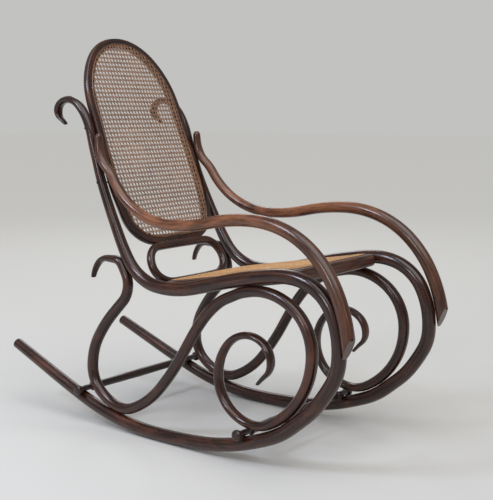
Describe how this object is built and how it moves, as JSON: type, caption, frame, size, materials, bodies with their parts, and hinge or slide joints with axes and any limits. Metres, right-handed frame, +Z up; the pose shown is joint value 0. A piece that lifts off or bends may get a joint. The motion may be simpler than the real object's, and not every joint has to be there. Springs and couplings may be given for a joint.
{
  "type": "rocking chair",
  "caption": "Bentwood rocking chair: each side is a long bent rod that forms stile, seat rail and rocker with a scroll in it; caned seat and tall caned back.",
  "frame": {"origin": "on the floor, at the middle of the chair's overall length and width", "axes": "+Z up, the sitter faces -Y, +Y to the back of the chair, +X to the sitter's left, -X to the sitter's right"},
  "size_m": [0.5192, 1.1926, 1.0766],
  "materials": {
    "dark_bentwood": "gloss",
    "worn_bentwood": "gloss",
    "cane": "satin",
    "reed": "satin",
    "steel_screw": "satin"
  },
  "bodies": {
    "root": {"side_rod_right": "dark_bentwood", "side_rod_left": "dark_bentwood", "scroll_right": "dark_bentwood", "scroll_left": "dark_bentwood", "armrest_right": "worn_bentwood", "armrest_left": "worn_bentwood", "back_hoop": "dark_bentwood", "back_cane": "cane", "back_cane_spline": "reed", "back_ring": "dark_bentwood", "seat_frame": "worn_bentwood", "seat_cane": "cane", "seat_cane_spline": "reed", "front_stretcher": "dark_bentwood", "rear_stretcher": "dark_bentwood", "arm_screws": "steel_screw", "scroll_screws": "steel_screw", "hoop_screws": "steel_screw", "back_ring_screws": "steel_screw", "seat_screws": "steel_screw", "stretcher_screws": "steel_screw"}
  },
  "joints": []
}
